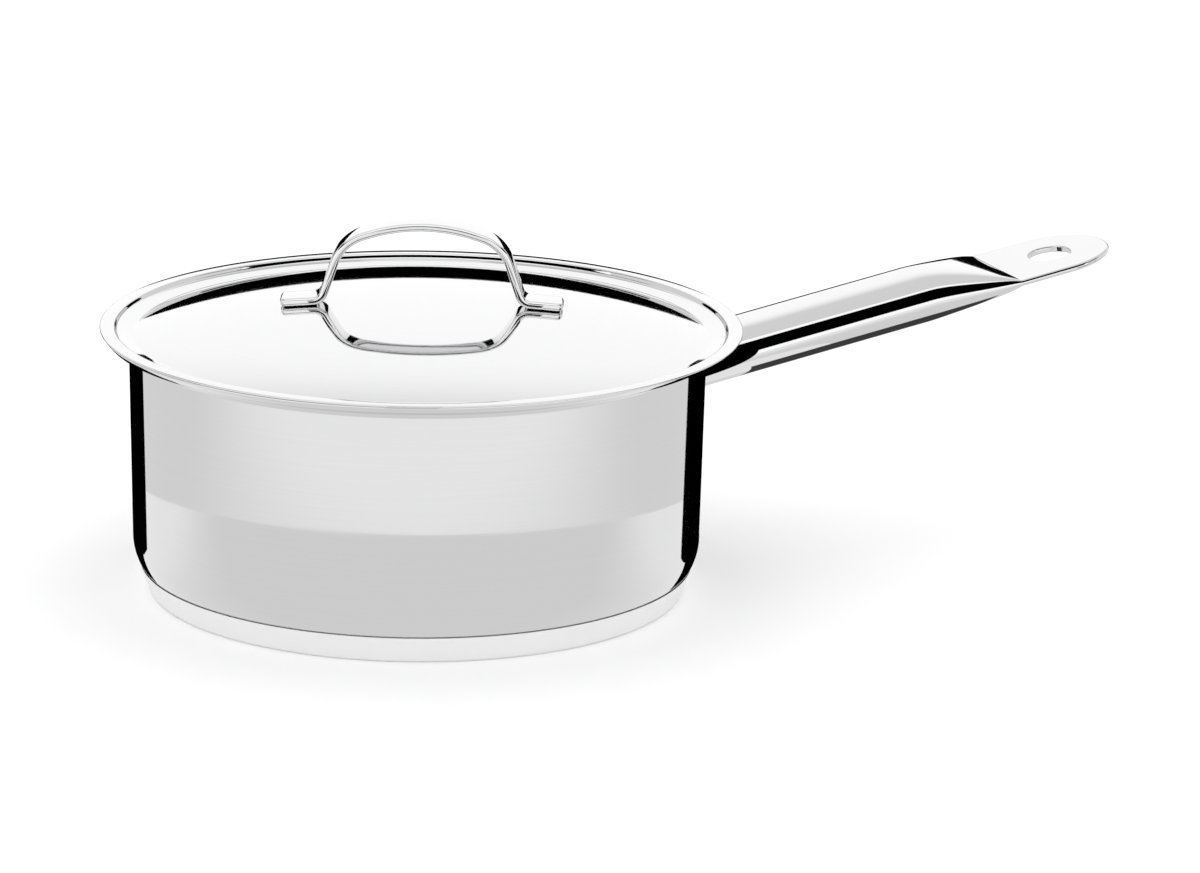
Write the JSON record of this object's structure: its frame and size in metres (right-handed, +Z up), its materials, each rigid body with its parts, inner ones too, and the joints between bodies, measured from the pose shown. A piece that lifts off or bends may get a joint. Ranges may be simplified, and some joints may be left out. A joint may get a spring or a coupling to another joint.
{
  "type": "saucepan",
  "caption": "Straight-walled steel saucepan with a flared rim, sandwich base, flat-ended tube handle with a hanging hole, and a loose domed steel lid with a strap handle.",
  "frame": {"origin": "middle of the flat underside of the base, on the axis of the pan", "axes": "+Z up out of the pan's mouth, +X the way the long handle points, +Y to the left when looking along +X"},
  "size_m": [0.3778, 0.2224, 0.1303],
  "materials": {
    "polished_steel": "polished",
    "satin_steel": "satin",
    "aluminium": "satin"
  },
  "bodies": {
    "pan": {"pan_body": "polished_steel", "base_cap": "polished_steel", "base_core": "aluminium", "handle_tube": "polished_steel", "handle_bracket": "satin_steel"},
    "lid": {"lid_plate": "polished_steel", "lid_handle": "polished_steel"}
  },
  "joints": [
    {"name": "lid_lift", "type": "slide", "parent": "pan", "child": "lid", "axis": [0, 0, 1], "range_m": [0, 0.12]}
  ]
}
